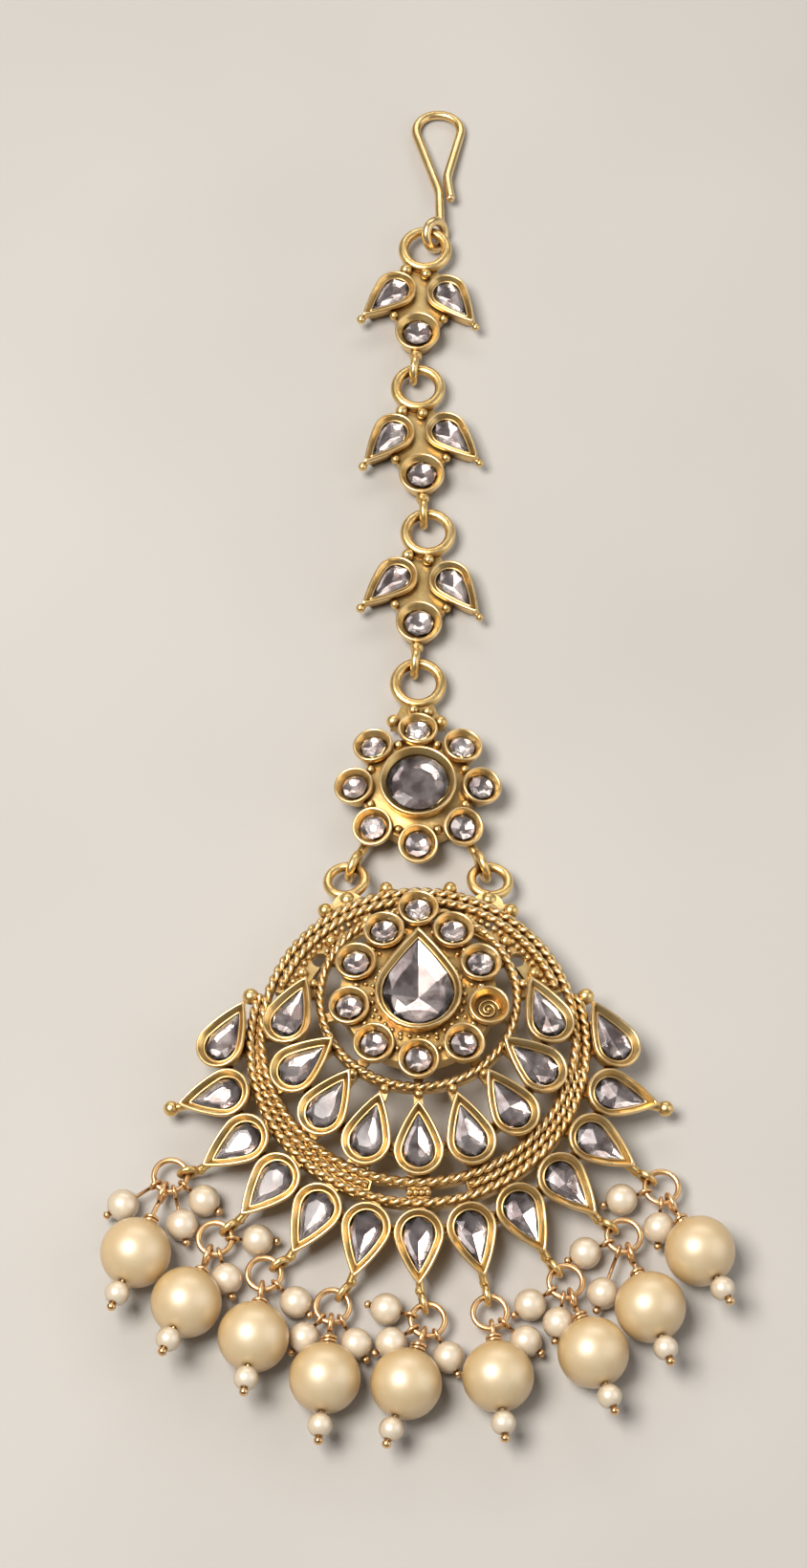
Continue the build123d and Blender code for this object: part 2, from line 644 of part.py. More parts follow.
def leaf_stones(link):
    """The three stones of a link."""
    base, places = link_places(link)
    leaf = pear_points(LEAF_R, LEAF_TIP, PEAR_SHOULDER, LEAF_SEAT + STONE_GAP)
    mid = round_points(PEAR_R - 0.75 - STONE_GAP, 12)
    return stones([(places[0], leaf, STONE_HEIGHT), (places[1], leaf, STONE_HEIGHT),
                   (places[2], mid, STONE_HEIGHT)])


# ---- hook ------------------------------------------------------------------------------
def hair_hook():
    """Wire hook: a closed eye in the top link's ring, a shank and a sprung open loop."""
    at = Vector(*HOOK_EYE)
    eye = ring(HOOK_EYE_R, HOOK_WIRE, Plane(at, z_dir=HOOK_EYE_AXIS))
    slope = Plane(at, x_dir=(1, 0, 0), z_dir=(0, sin(radians(HOOK_SLOPE)), cos(radians(HOOK_SLOPE))))
    route = slope * FilletPolyline(*HOOK_ROUTE, radius=HOOK_BENDS)
    section = Plane(route @ 0, z_dir=route % 0) * disc(HOOK_WIRE)
    wire = sweep(section, route)
    end = ball(HOOK_WIRE, route @ 1)
    return one(wire.fuse(eye).fuse(end))


# ---- drops -----------------------------------------------------------------------------
def jump_plane(drop):
    """Plane of a drop's jump ring, its X axis along the tip eye's bearing, dipping outwards."""
    eye, jump = drop_tip(drop)
    out = Vector(*polar(1, drop["eye"]), 0)
    dip = radians(JUMP_DIP)
    return Plane(jump, x_dir=out * cos(dip) - Vector(0, 0, sin(dip)),
                 z_dir=out * sin(dip) + Vector(0, 0, cos(dip)))


def hook_point(drop, bearing):
    """Point of the jump ring's wire at a bearing in plan."""
    place = jump_plane(drop)
    local = bearing - drop["eye"]
    return place.from_local_coords((*polar(JUMP_R, local), 0))


def pin(loop_at, loop_r, wire, route, head):
    """Head pin: a loop, straight runs through the route's points and a ball head on the last."""
    run = (route[0] - loop_at).normalized()
    side = Vector(0, 0, 1).cross(run)
    shape = ring(loop_r, wire, Plane(loop_at, x_dir=run.cross(side), z_dir=side))
    last = loop_at + run * loop_r
    for point in route:
        shape = shape.fuse(rod(last, point, wire))
        size = head if point is route[-1] else wire * 1.5
        shape = shape.fuse(ball(size, point, point - last))
        last = point
    return one(shape)


def drilled(r, hole, at, axis):
    """Bead drilled along an axis."""
    bead = ball(r, at, axis)
    return one(bead.cut(rod(at - axis * (r + 1), at + axis * (r + 1), hole)))


def pearl_drop(drop):
    """One drop: jump ring, large pearl, small pearls and head pins."""
    eye, jump = drop_tip(drop)
    jump_ring = ring(JUMP_R, JUMP_WIRE, jump_plane(drop))
    away = Vector(*polar(1, drop["pearl"]), 0)
    rise = radians(drop["rise"])
    axis = away * cos(rise) + Vector(0, 0, sin(rise))      # from the eye end to the head
    plan_at = Vector(jump[0], jump[1], 0) + away * drop["reach"]
    at = Vector(plan_at.X, plan_at.Y, PEARL_R + 0.02)
    pearl = drilled(PEARL_R, PIN + HOLE_GAP, at, axis)
    end_at = at + axis * (PEARL_R + 0.1 + END_PEARL_R)
    beads = [drilled(END_PEARL_R, PIN + HOLE_GAP, end_at, axis)]
    elbow = at - axis * (PEARL_R + 0.45)
    wire_at = hook_point(drop, drop["pearl"])
    loop_at = wire_at + away * (PIN_LOOP_R - PIN - JUMP_WIRE - 0.16)
    loop_at = Vector(loop_at.X, loop_at.Y, wire_at.Z + 0.25)
    head_at = end_at + axis * (END_PEARL_R + 0.36)
    pins = [pin(loop_at, PIN_LOOP_R, PIN, [elbow, head_at], PIN_HEAD)]
    wrap = rod(elbow + axis * 0.05, elbow + axis * 0.4, 0.46)
    pins[0] = one(pins[0].fuse(wrap))
    for bearing, reach in drop["side"]:
        wire_at = hook_point(drop, bearing)
        out = Vector(*polar(1, bearing), 0)
        bead_at = Vector(jump[0], jump[1], 0) + out * reach
        bead_at = Vector(bead_at.X, bead_at.Y, SIDE_PEARL_R + 0.03)
        aim = (bead_at - wire_at).normalized()
        loop_at = wire_at + aim * 0.1
        beads.append(drilled(SIDE_PEARL_R, SIDE_PIN + HOLE_GAP, bead_at, aim))
        head_at = bead_at + aim * (SIDE_PEARL_R + 0.3)
        pins.append(pin(loop_at, SIDE_LOOP_R, SIDE_PIN, [head_at], SIDE_HEAD))
    return jump_ring, pearl, beads, pins


# ---- everything ------------------------------------------------------------------------
def build():
    """All nodes by name, in the working frame."""
    nodes = {"hair_hook": [hair_hook()]}
    for i, link in enumerate(LINKS, 1):
        nodes[f"leaf_link_{i}"] = [leaf_link(link)]
        nodes[f"leaf_{i}_stones"] = leaf_stones(link)
    nodes["flower_setting"] = [flower_setting()]
    nodes.update(flower_stones())
    nodes["pendant_frame"] = [pendant_frame()]
    nodes.update(pendant_stones())
    for i, drop in enumerate(DROPS, 1):
        jump_ring, pearl, beads, pins = pearl_drop(drop)
        nodes[f"drop_{i}_ring"] = [jump_ring]
        nodes[f"drop_{i}_pearl"] = [pearl]
        nodes[f"drop_{i}_small_pearls"] = beads
        nodes[f"drop_{i}_pins"] = pins
    return nodes


def place_all(nodes):
    """Move every node so that the origin is under the middle of the whole."""
    box = Compound([solid for solids in nodes.values() for solid in solids]).bounding_box()
    shift = Vector(-(box.min.X + box.max.X) / 2, -(box.min.Y + box.max.Y) / 2, -box.min.Z)
    print("shift", [round(v, 4) for v in shift])
    return {name: [solid.moved(Location(shift)) for solid in solids]
            for name, solids in nodes.items()}


os.makedirs("parts", exist_ok=True)
# faces that were split by a fuse stay split: merging them loses closed rings
with SkipClean():
    everything = place_all(build())
for name, solids in everything.items():
    shape = solids[0] if len(solids) == 1 else Compound(solids)
    export_step(shape, f"parts/{name}.step")
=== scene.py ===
"""Dresses the maang tikka: rounded bezels, rope and beaded wire, cut crystals over foil, pearls."""

import logging
import math
from dataclasses import dataclass, field
from enum import Enum
from typing import Iterable, Sequence

import bpy
import numpy as np
from mathutils import Matrix, Vector


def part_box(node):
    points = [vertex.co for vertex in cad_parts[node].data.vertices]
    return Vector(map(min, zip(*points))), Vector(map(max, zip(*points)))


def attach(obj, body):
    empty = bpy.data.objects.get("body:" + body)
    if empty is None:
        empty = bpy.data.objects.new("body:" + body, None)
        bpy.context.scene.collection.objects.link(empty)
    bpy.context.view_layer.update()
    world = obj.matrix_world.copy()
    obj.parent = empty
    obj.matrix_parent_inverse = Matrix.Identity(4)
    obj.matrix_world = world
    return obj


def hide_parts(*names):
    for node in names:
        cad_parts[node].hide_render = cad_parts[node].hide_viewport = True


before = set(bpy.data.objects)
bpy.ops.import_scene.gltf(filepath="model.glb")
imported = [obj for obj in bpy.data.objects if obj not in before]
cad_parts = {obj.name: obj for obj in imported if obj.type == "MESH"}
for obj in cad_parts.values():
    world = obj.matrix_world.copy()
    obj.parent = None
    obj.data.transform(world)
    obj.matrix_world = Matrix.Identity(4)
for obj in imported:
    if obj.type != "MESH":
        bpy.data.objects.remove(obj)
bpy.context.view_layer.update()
LOG = logging.getLogger("maang_tikka")
Points = np.ndarray

# Everything below is in millimetres of the working frame: its origin is the middle of the
# pendant's medallion on the surface that the piece lies on, +Y runs to the hook, +Z is up.
MM = 1000.0              # millimetres in a metre
FLOWER_Y = 23.6          # middle of the flower
REST_GAP = 0.02          # height of the lowest metal and pearls over the working origin
MEDALLION_Y = -4.9       # middle of the medallion's ropes
CENTRE_PEAR_Y = -1.6     # round end of the large pear
PEAR_TIP = 5.05          # point of a pear setting, from its round end's middle
RIM = 1.9                # rims of the small settings over the dome
CENTRE_RIM = 2.4         # rim of the large pear over the dome
GROUND = 1.0             # middles of the granules on the raised ground, over the dome


class Slot(Enum):
    """Material slots of the record."""

    PENDANT = "pendant_gold"
    CHAIN = "chain_gold"
    DROP = "drop_gold"
    CRYSTAL = "crystal"
    PEARL = "pearl"
    SMALL_PEARL = "small_pearl"


# ---- small geometry --------------------------------------------------------------------
def polar(r: float, bearing: float) -> tuple[float, float]:
    """Point at a distance and bearing (degrees) from the origin."""
    return r * math.cos(math.radians(bearing)), r * math.sin(math.radians(bearing))


def place_at(at: Vector, x_dir: Vector, z_dir: Vector) -> Matrix:
    """Placement with its origin, X direction and Z direction.

    Args:
        at: origin of the placement.
        x_dir: its X direction, made square to z_dir.
        z_dir: its Z direction.

    Returns:
        The 4x4 matrix from local to working millimetres.
    """
    z = z_dir.normalized()
    x = (x_dir - z * x_dir.dot(z)).normalized()
    y = z.cross(x)
    placed = Matrix((x, y, z)).transposed().to_4x4()
    placed.translation = at
    return placed


def moved(points: Points, place: Matrix) -> Points:
    """Points carried by a placement."""
    m = np.array(place)
    return points @ m[:3, :3].T + m[:3, 3]


@dataclass
class Shape:
    """Mesh under construction: blocks of points and the faces that index them."""

    blocks: list[Points] = field(default_factory=list)
    faces: list[tuple[int, ...]] = field(default_factory=list)
    count: int = 0

    def add(self, points: Points, faces: Iterable[Sequence[int]]) -> None:
        """Add points and the faces between them."""
        base = self.count
        self.blocks.append(np.asarray(points, float))
        self.faces.extend(tuple(base + i for i in face) for face in faces)
        self.count += len(points)

    def loft(self, loops: Sequence[Points], closed: bool = False, caps: bool = False) -> None:
        """Join loops of equal length with quads.

        Args:
            loops: closed loops of points, in order.
            closed: whether the last loop joins the first.
            caps: whether the two end loops are filled.
        """
        n, rows = len(loops[0]), len(loops)
        faces: list[tuple[int, ...]] = []
        for row in range(rows if closed else rows - 1):
            a, b = row * n, (row + 1) % rows * n
            for i in range(n):
                j = (i + 1) % n
                faces.append((a + i, a + j, b + j, b + i))
        if caps:
            faces.append(tuple(reversed(range(n))))
            faces.append(tuple(range((rows - 1) * n, rows * n)))
        self.add(np.vstack(loops), faces)

    def tube(self, path: Points, radius: float, sides: int = 8, closed: bool = False) -> None:
        """Round wire along a path.

        Args:
            path: points of the centre line.
            radius: the wire's radius.
            sides: faces round the wire.
            closed: whether the wire joins itself.
        """
        path = np.asarray(path, float)
        if closed:
            run = np.roll(path, -1, 0) - np.roll(path, 1, 0)
        else:
            run = np.gradient(path, axis=0)
        run /= np.linalg.norm(run, axis=1)[:, None]
        first = np.cross(run[0], (0.0, 0.0, 1.0))
        if np.linalg.norm(first) < 0.1:
            first = np.cross(run[0], (1.0, 0.0, 0.0))
        normals = [first / np.linalg.norm(first)]
        for i in range(1, len(path)):
            carried = normals[-1] - run[i] * normals[-1].dot(run[i])
            normals.append(carried / np.linalg.norm(carried))
        twist = 0.0
        if closed:
            last = normals[-1] - run[0] * normals[-1].dot(run[0])
            last /= np.linalg.norm(last)
            side = np.cross(run[0], normals[0])
            twist = -math.atan2(last.dot(side), last.dot(normals[0]))
        loops = []
        angles = np.linspace(0, 2 * math.pi, sides, endpoint=False)
        for i, at in enumerate(path):
            side = np.cross(run[i], normals[i])
            turn = angles + twist * i / len(path)
            loops.append(at + radius * (np.cos(turn)[:, None] * normals[i] + np.sin(turn)[:, None] * side))
        self.loft(loops, closed, not closed)

    def lathe(self, profile: Points, place: Matrix, sides: int, closed: bool = False) -> None:
        """Turn a profile of (radius, height) about a placement's Z axis.

        Args:
            profile: rows of radius and height.
            place: the axis and the origin of the heights.
            sides: faces round the axis.
            closed: whether the profile joins itself, as a bead's does through its hole.
        """
        turn = np.linspace(0, 2 * math.pi, sides, endpoint=False)
        ring = np.stack([np.cos(turn), np.sin(turn), np.zeros(sides)], 1)
        loops = [moved(ring * (r, r, 0) + (0, 0, z), place) for r, z in profile]
        self.loft(loops, closed, not closed)

    def ball(self, at: Sequence[float], radius: float, rows: int = 7, sides: int = 12) -> None:
        """Ball about a point."""
        angles = np.linspace(-math.pi / 2 + 0.12, math.pi / 2 - 0.12, rows)
        profile = np.stack([radius * np.cos(angles), radius * np.sin(angles)], 1)
        self.lathe(profile, Matrix.Translation(Vector(at)), sides)

    def piece(self, name: str, finish: "Finish", slot: Slot, smooth: bool = True,
              replaces: Sequence[str] = ()) -> bpy.types.Object:
        """Make the Blender object, ride it on the body and dress it.

        Args:
            name: the piece's name.
            finish: the finish that dresses it.
            slot: the record's slot; not used.
            smooth: whether its faces shade smooth.
            replaces: CAD nodes that it stands for.

        Returns:
            The new object.
        """
        points = (np.vstack(self.blocks) + WORK_ORIGIN) / MM
        mesh = bpy.data.meshes.new(name)
        mesh.from_pydata(points.tolist(), [], self.faces)
        mesh.validate()
        mesh.polygons.foreach_set("use_smooth", [smooth] * len(mesh.polygons))
        mesh.update()
        made = bpy.data.objects.new(name, mesh)
        bpy.context.scene.collection.objects.link(made)
        made.data.materials.append(finish.material())
        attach(made, "root")
        if replaces:
            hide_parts(*replaces)
        LOG.info("%s: %d faces", name, len(self.faces))
        return made


def work_origin() -> Points:
    """Where the working frame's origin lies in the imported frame, in millimetres."""
    low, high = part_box("flower_centre_stone")
    across = (low + high) / 2 * MM
    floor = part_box("leaf_link_1")[0].z * MM
    return np.array([across.x, across.y - FLOWER_Y, floor - REST_GAP])


WORK_ORIGIN = work_origin()


# ---- finishes --------------------------------------------------------------------------
class Finish:
    """A finish that can make its own material once."""

    name: str = "finish"

    def build(self, nodes: bpy.types.Nodes, links: bpy.types.NodeLinks,
              shader: bpy.types.ShaderNodeBsdfPrincipled) -> None:
        """Wire the nodes of the material."""
        raise NotImplementedError

    def material(self) -> bpy.types.Material:
        """The Blender material, made on first use."""
        title = f"finish_{self.name}"
        found = bpy.data.materials.get(title)
        if found:
            return found
        made = bpy.data.materials.new(title)
        made.use_nodes = True
        nodes, links = made.node_tree.nodes, made.node_tree.links
        self.build(nodes, links, nodes["Principled BSDF"])
        return made

    def dress(self, *node_names: str) -> None:
        """Give this finish to CAD nodes that stay as they are."""
        for node_name in node_names:
            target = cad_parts[node_name]
            if not target.material_slots:
                target.data.materials.append(self.material())
            for place in target.material_slots:
                place.material = self.material()


def ramp(nodes: bpy.types.Nodes, stops: Sequence[tuple[float, tuple[float, ...]]]) -> bpy.types.Node:
    """Colour ramp node with the given stops."""
    made = nodes.new("ShaderNodeValToRGB")
    bar = made.color_ramp
    while len(bar.elements) < len(stops):
        bar.elements.new(0.5)
    for element, (at, colour) in zip(bar.elements, stops):
        element.position = at
        element.color = (*colour[:3], 1.0)
    return made


def grain(nodes: bpy.types.Nodes, links: bpy.types.NodeLinks, size: float, detail: float) -> bpy.types.Node:
    """Noise with features of a size in millimetres, in object space."""
    where = nodes.new("ShaderNodeTexCoord")
    made = nodes.new("ShaderNodeTexNoise")
    made.inputs["Scale"].default_value = MM / size
    made.inputs["Detail"].default_value = detail
    links.new(where.outputs["Object"], made.inputs["Vector"])
    return made


@dataclass(frozen=True)
class GoldFinish(Finish):
    """Antique gold plate over a casting: dark in the crevices, satin, finely pitted."""

    name: str = "antique_gold"
    bright: tuple[float, float, float] = (0.90, 0.65, 0.29)
    body: tuple[float, float, float] = (0.79, 0.53, 0.195)
    patina: tuple[float, float, float] = (0.23, 0.11, 0.03)
    roughness: float = 0.34
    pitting: float = 0.3
    crevice_mm: float = 1.0
    grain_mm: float = 0.30

    def build(self, nodes: bpy.types.Nodes, links: bpy.types.NodeLinks,
              shader: bpy.types.ShaderNodeBsdfPrincipled) -> None:
        """Crevice shade under two scales of noise; roughness and bump from the fine one."""
        shader.inputs["Metallic"].default_value = 1.0
        fine = grain(nodes, links, self.grain_mm, 3.0)
        broad = grain(nodes, links, 2.2, 2.0)
        tone = ramp(nodes, [(0.35, self.body), (0.62, self.bright)])
        links.new(broad.outputs["Fac"], tone.inputs["Fac"])
        crevice = nodes.new("ShaderNodeAmbientOcclusion")
        crevice.samples = 6
        crevice.inputs["Distance"].default_value = self.crevice_mm / MM
        depth = ramp(nodes, [(0.38, (0.0, 0.0, 0.0)), (0.86, (1.0, 1.0, 1.0))])
        links.new(crevice.outputs["AO"], depth.inputs["Fac"])
        mix = nodes.new("ShaderNodeMix")
        mix.data_type = "RGBA"
        mix.inputs["A"].default_value = (*self.patina, 1.0)
        links.new(depth.outputs["Color"], mix.inputs["Factor"])
        links.new(tone.outputs["Color"], mix.inputs["B"])
        links.new(mix.outputs["Result"], shader.inputs["Base Color"])
        rough = nodes.new("ShaderNodeMapRange")
        rough.inputs["From Min"].default_value = 0.3
        rough.inputs["From Max"].default_value = 0.7
        rough.inputs["To Min"].default_value = self.roughness - 0.04
        rough.inputs["To Max"].default_value = self.roughness + 0.06
        links.new(fine.outputs["Fac"], rough.inputs["Value"])
        links.new(rough.outputs["Result"], shader.inputs["Roughness"])
        bump = nodes.new("ShaderNodeBump")
        bump.inputs["Strength"].default_value = self.pitting
        bump.inputs["Distance"].default_value = 0.00006
        links.new(fine.outputs["Fac"], bump.inputs["Height"])
        links.new(bump.outputs["Normal"], shader.inputs["Normal"])


@dataclass(frozen=True)
class CrystalFinish(Finish):
    """Clear cut glass."""

    name: str = "clear_crystal"
    tint: tuple[float, float, float] = (0.98, 0.96, 0.955)

    def build(self, nodes: bpy.types.Nodes, links: bpy.types.NodeLinks,
              shader: bpy.types.ShaderNodeBsdfPrincipled) -> None:
        """Polished glass with the faintest wipe marks in its gloss."""
        shader.inputs["Base Color"].default_value = (*self.tint, 1.0)
        shader.inputs["Transmission Weight"].default_value = 1.0
        shader.inputs["IOR"].default_value = 1.54
        shader.inputs["Specular Tint"].default_value = (0.35, 0.34, 0.34, 1.0)
        wipe = grain(nodes, links, 1.5, 2.0)
        rough = nodes.new("ShaderNodeMapRange")
        rough.inputs["To Min"].default_value = 0.0
        rough.inputs["To Max"].default_value = 0.05
        links.new(wipe.outputs["Fac"], rough.inputs["Value"])
        links.new(rough.outputs["Result"], shader.inputs["Roughness"])


@dataclass(frozen=True)
class FoilFinish(Finish):
    """Silvered foil behind a crystal, cool grey with darker and warmer patches."""

    name: str = "crystal_foil"
    light: tuple[float, float, float] = (0.76, 0.68, 0.65)
    dark: tuple[float, float, float] = (0.50, 0.40, 0.375)
    roughness: float = 0.2

    def build(self, nodes: bpy.types.Nodes, links: bpy.types.NodeLinks,
              shader: bpy.types.ShaderNodeBsdfPrincipled) -> None:
        """Cloudy tone over a mirror."""
        shader.inputs["Metallic"].default_value = 1.0
        cloud = grain(nodes, links, 1.3, 1.0)
        tone = ramp(nodes, [(0.36, self.dark), (0.56, self.light)])
        links.new(cloud.outputs["Fac"], tone.inputs["Fac"])
        links.new(tone.outputs["Color"], shader.inputs["Base Color"])
        rough = nodes.new("ShaderNodeMapRange")
        rough.inputs["To Min"].default_value = self.roughness - 0.05
        rough.inputs["To Max"].default_value = self.roughness + 0.08
        links.new(cloud.outputs["Fac"], rough.inputs["Value"])
        links.new(rough.outputs["Result"], shader.inputs["Roughness"])


@dataclass(frozen=True)
class PearlFinish(Finish):
    """Imitation pearl: cream body under a satin, faintly uneven skin."""

    name: str = "pearl"
    body: tuple[float, float, float] = (0.68, 0.52, 0.30)
    glow: tuple[float, float, float] = (0.71, 0.57, 0.36)
    # edge: painted shade, the darker colour the pearl takes at its silhouette
    edge: tuple[float, float, float] = (0.56, 0.34, 0.10)
    roughness: float = 0.42

    def build(self, nodes: bpy.types.Nodes, links: bpy.types.NodeLinks,
              shader: bpy.types.ShaderNodeBsdfPrincipled) -> None:
        """Body colour that darkens and deepens towards the rim, which is painted shade at the silhouette; a
        thin satin coat and soft ripples.
        """
        cloud = grain(nodes, links, 2.4, 2.0)
        tone = ramp(nodes, [(0.32, self.body), (0.66, self.glow)])
        links.new(cloud.outputs["Fac"], tone.inputs["Fac"])
        # Painted shade: the colour turns from body to edge towards the silhouette.
        facing = nodes.new("ShaderNodeLayerWeight")
        facing.inputs["Blend"].default_value = 0.60
        mix = nodes.new("ShaderNodeMix")
        mix.data_type = "RGBA"
        links.new(facing.outputs["Facing"], mix.inputs["Factor"])
        links.new(tone.outputs["Color"], mix.inputs["A"])
        mix.inputs["B"].default_value = (*self.edge, 1.0)
        links.new(mix.outputs["Result"], shader.inputs["Base Color"])
        shader.inputs["Roughness"].default_value = self.roughness
        shader.inputs["Metallic"].default_value = 0.12
        shader.inputs["Specular IOR Level"].default_value = 0.8
        shader.inputs["Coat Weight"].default_value = 1.0
        shader.inputs["Coat Roughness"].default_value = 0.38
        shader.inputs["Coat IOR"].default_value = 1.75
        shader.inputs["Subsurface Weight"].default_value = 0.12
        shader.inputs["Subsurface Radius"].default_value = (0.0012, 0.0008, 0.0005)
        bump = nodes.new("ShaderNodeBump")
        bump.inputs["Strength"].default_value = 0.12
        bump.inputs["Distance"].default_value = 0.00008
        links.new(cloud.outputs["Fac"], bump.inputs["Height"])
        links.new(bump.outputs["Normal"], shader.inputs["Normal"])


@dataclass(frozen=True)
class TableTopFinish(Finish):
    """Plain pale surface to lie on."""

    name: str = "pale_table"
    low: tuple[float, float, float] = (0.46, 0.435, 0.40)
    high: tuple[float, float, float] = (0.50, 0.475, 0.44)

    def build(self, nodes: bpy.types.Nodes, links: bpy.types.NodeLinks,
              shader: bpy.types.ShaderNodeBsdfPrincipled) -> None:
        """Even matte tone with the slightest cloud."""
        cloud = grain(nodes, links, 60.0, 2.0)
        tone = ramp(nodes, [(0.3, self.low), (0.7, self.high)])
        links.new(cloud.outputs["Fac"], tone.inputs["Fac"])
        links.new(tone.outputs["Color"], shader.inputs["Base Color"])
        shader.inputs["Roughness"].default_value = 0.7


CAST_GOLD = GoldFinish()
WIRE_GOLD = GoldFinish(name="wire_gold", bright=(0.92, 0.68, 0.35), body=(0.84, 0.58, 0.25),
                       patina=(0.29, 0.15, 0.045), roughness=0.31, pitting=0.05, crevice_mm=0.45)
ROSE_WIRE = GoldFinish(name="rose_wire", bright=(0.92, 0.62, 0.33), body=(0.80, 0.48, 0.21),
                       roughness=0.30, pitting=0.0, crevice_mm=0.25, grain_mm=4.0)
CRYSTAL = CrystalFinish()
FOIL = FoilFinish()
CREAM_PEARL = PearlFinish()
# edge is the painted shade at the small pearls' rims.
WHITE_PEARL = PearlFinish(name="small_pearl", body=(0.74, 0.62, 0.46), glow=(0.79, 0.69, 0.54),
                          edge=(0.50, 0.36, 0.20), roughness=0.34)


# ---- outlines and settings -------------------------------------------------------------
@dataclass(frozen=True)
class PearOutline:
    """Pear: round end about the origin, point on +X at tip, sides that curve."""

    r: float
    tip: float
    shoulder: float

    def loop(self, count: int, inset: float = 0.0, phase: float = 0.0) -> Points:
        """Points round the outline from its tip, back along the low side.

        Args:
            count: number of points.
            inset: how much smaller the outline is drawn all round.
            phase: share of a step that the first point is moved on.

        Returns:
            Rows of x and y.
        """
        x, y = polar(self.r, self.shoulder)
        point = 2 * math.atan2(y, self.tip - x) - math.radians(90 - self.shoulder)
        r, tip = self.r - inset, self.tip - inset / math.sin(point)
        x, y = polar(r, self.shoulder)
        slope = (math.sin(math.radians(self.shoulder)), -math.cos(math.radians(self.shoulder)))
        inward = (slope[1], -slope[0])
        chord = (tip - x, -y)
        bend = (chord[0] ** 2 + chord[1] ** 2) / (2 * (inward[0] * chord[0] + inward[1] * chord[1]))
        heart = (x + inward[0] * bend, y + inward[1] * bend)
        start = math.atan2(y - heart[1], x - heart[0])
        end = math.atan2(-heart[1], tip - heart[0])
        rows = []
        side = 0.3  # share of the points on each of the two sides that meet at the tip
        for i in range(count):
            u = ((i + phase) / count) % 1.0
            if u < side or u > 1 - side:
                share = u / side if u < side else (1.0 - u) / side
                turn = end + (start - end) * share
                radius = abs(bend)
                px, py = heart[0] + radius * math.cos(turn), heart[1] + radius * math.sin(turn)
                rows.append((px, -py) if u < side else (px, py))
            else:
                share = (u - side) / (1 - 2 * side)
                bearing = -self.shoulder - share * (360 - 2 * self.shoulder)
                rows.append(polar(r, bearing))
        return np.array(rows)


@dataclass(frozen=True)
class RoundOutline:
    """Circle about the origin."""

    r: float

    def loop(self, count: int, inset: float = 0.0, phase: float = 0.0) -> Points:
        """Points round the circle, as for a pear."""
        return np.array([polar(self.r - inset, -360.0 * (i + phase) / count) for i in range(count)])


@dataclass(frozen=True)
class Setting:
    """A bezel with its stone.

    Wall, seat, gap and drop are in millimetres; table and culet are shares of the stone's
    outline; the depths and the keel are shares of its height. A culet of 0 makes the foil run
    down to a point, the keel.
    """

    outline: PearOutline | RoundOutline
    wall: float = 0.24
    seat: float = 0.72
    corners: int = 10
    stone_height: float = 1.05
    stone_gap: float = 0.11
    stone_drop: float = 0.12
    middle: float = 0.0
    lip: bool = True
    table: float = 0.64
    crown_depth: float = 0.30
    girdle_depth: float = 0.42
    foil_edge: float = 0.44
    culet: float = 0.5
    culet_depth: float = 0.72
    keel: float = 0.9

    def rim(self, shape: Shape, place: Matrix, samples: int = 44) -> None:
        """Rounded bead of metal along the bezel's top edge."""
        edge = [(-0.04, -0.40), (-0.07, -0.16), (-0.05, 0.0), (0.03, 0.09), (0.12, 0.11),
                (self.wall - 0.03, 0.06), (self.wall + 0.03, -0.02), (self.wall + 0.06, -0.14)]
        lip = [(self.seat - 0.16, -0.56), (self.seat - 0.13, -0.43), (self.seat - 0.05, -0.36),
               (self.seat + 0.03, -0.38), (self.seat + 0.09, -0.46), (self.seat + 0.11, -0.60)]
        for profile in (edge, lip) if self.lip else (edge,):
            loops = []
            for inset, z in profile:
                flat = self.outline.loop(samples, inset)
                loops.append(moved(np.column_stack([flat, np.full(samples, z)]), place))
            shape.loft(loops)

    def level(self, place: Matrix, scale: float, z: float, phase: float) -> Points:
        """One loop of a stone's corners, drawn in towards its middle."""
        flat = self.outline.loop(self.corners, self.seat + self.stone_gap, phase)
        flat = flat * scale + np.array([self.middle * (1 - scale), 0.0])
        return moved(np.column_stack([flat, np.full(self.corners, z)]), place)

    def crown(self, shape: Shape, place: Matrix) -> None:
        """Clear upper part of the stone: table, star facets, upper facets and girdle."""
        h, top, n = self.stone_height, -self.stone_drop, self.corners
        loops = [
            self.level(place, self.table, top, 0.5),
            self.level(place, 1.0, top - self.crown_depth * h, 0.0),
            self.level(place, 1.0, top - self.girdle_depth * h, 0.0),
        ]
        faces: list[tuple[int, ...]] = [tuple(reversed(range(n)))]
        for i in range(n):
            j = (i + 1) % n
            faces += [(i, n + j, n + i), (i, j, n + j)]
            faces.append((n + i, n + j, 2 * n + j, 2 * n + i))
        faces.append(tuple(range(2 * n, 3 * n)))
        shape.add(np.vstack(loops), faces)

    def foil(self, shape: Shape, place: Matrix) -> None:
        """Mirror behind the stone: slanting facets round a flat middle, or down to one point."""
        h, top, n = self.stone_height, -self.stone_drop, self.corners
        girdle = self.level(place, 0.99, top - self.foil_edge * h, 0.0)
        if not self.culet:
            keel = moved(np.array([[self.middle, 0.0, top - self.keel * h]]), place)
            shape.add(np.vstack([girdle, keel]), [(i, n, (i + 1) % n) for i in range(n)])
            return
        faces: list[tuple[int, ...]] = [tuple(range(n, 2 * n))]
        for i in range(n):
            j = (i + 1) % n
            faces += [(i, n + i, j), (n + i, n + j, j)]
        flat = self.level(place, self.culet, top - self.culet_depth * h, 0.5)
        shape.add(np.vstack([girdle, flat]), faces)


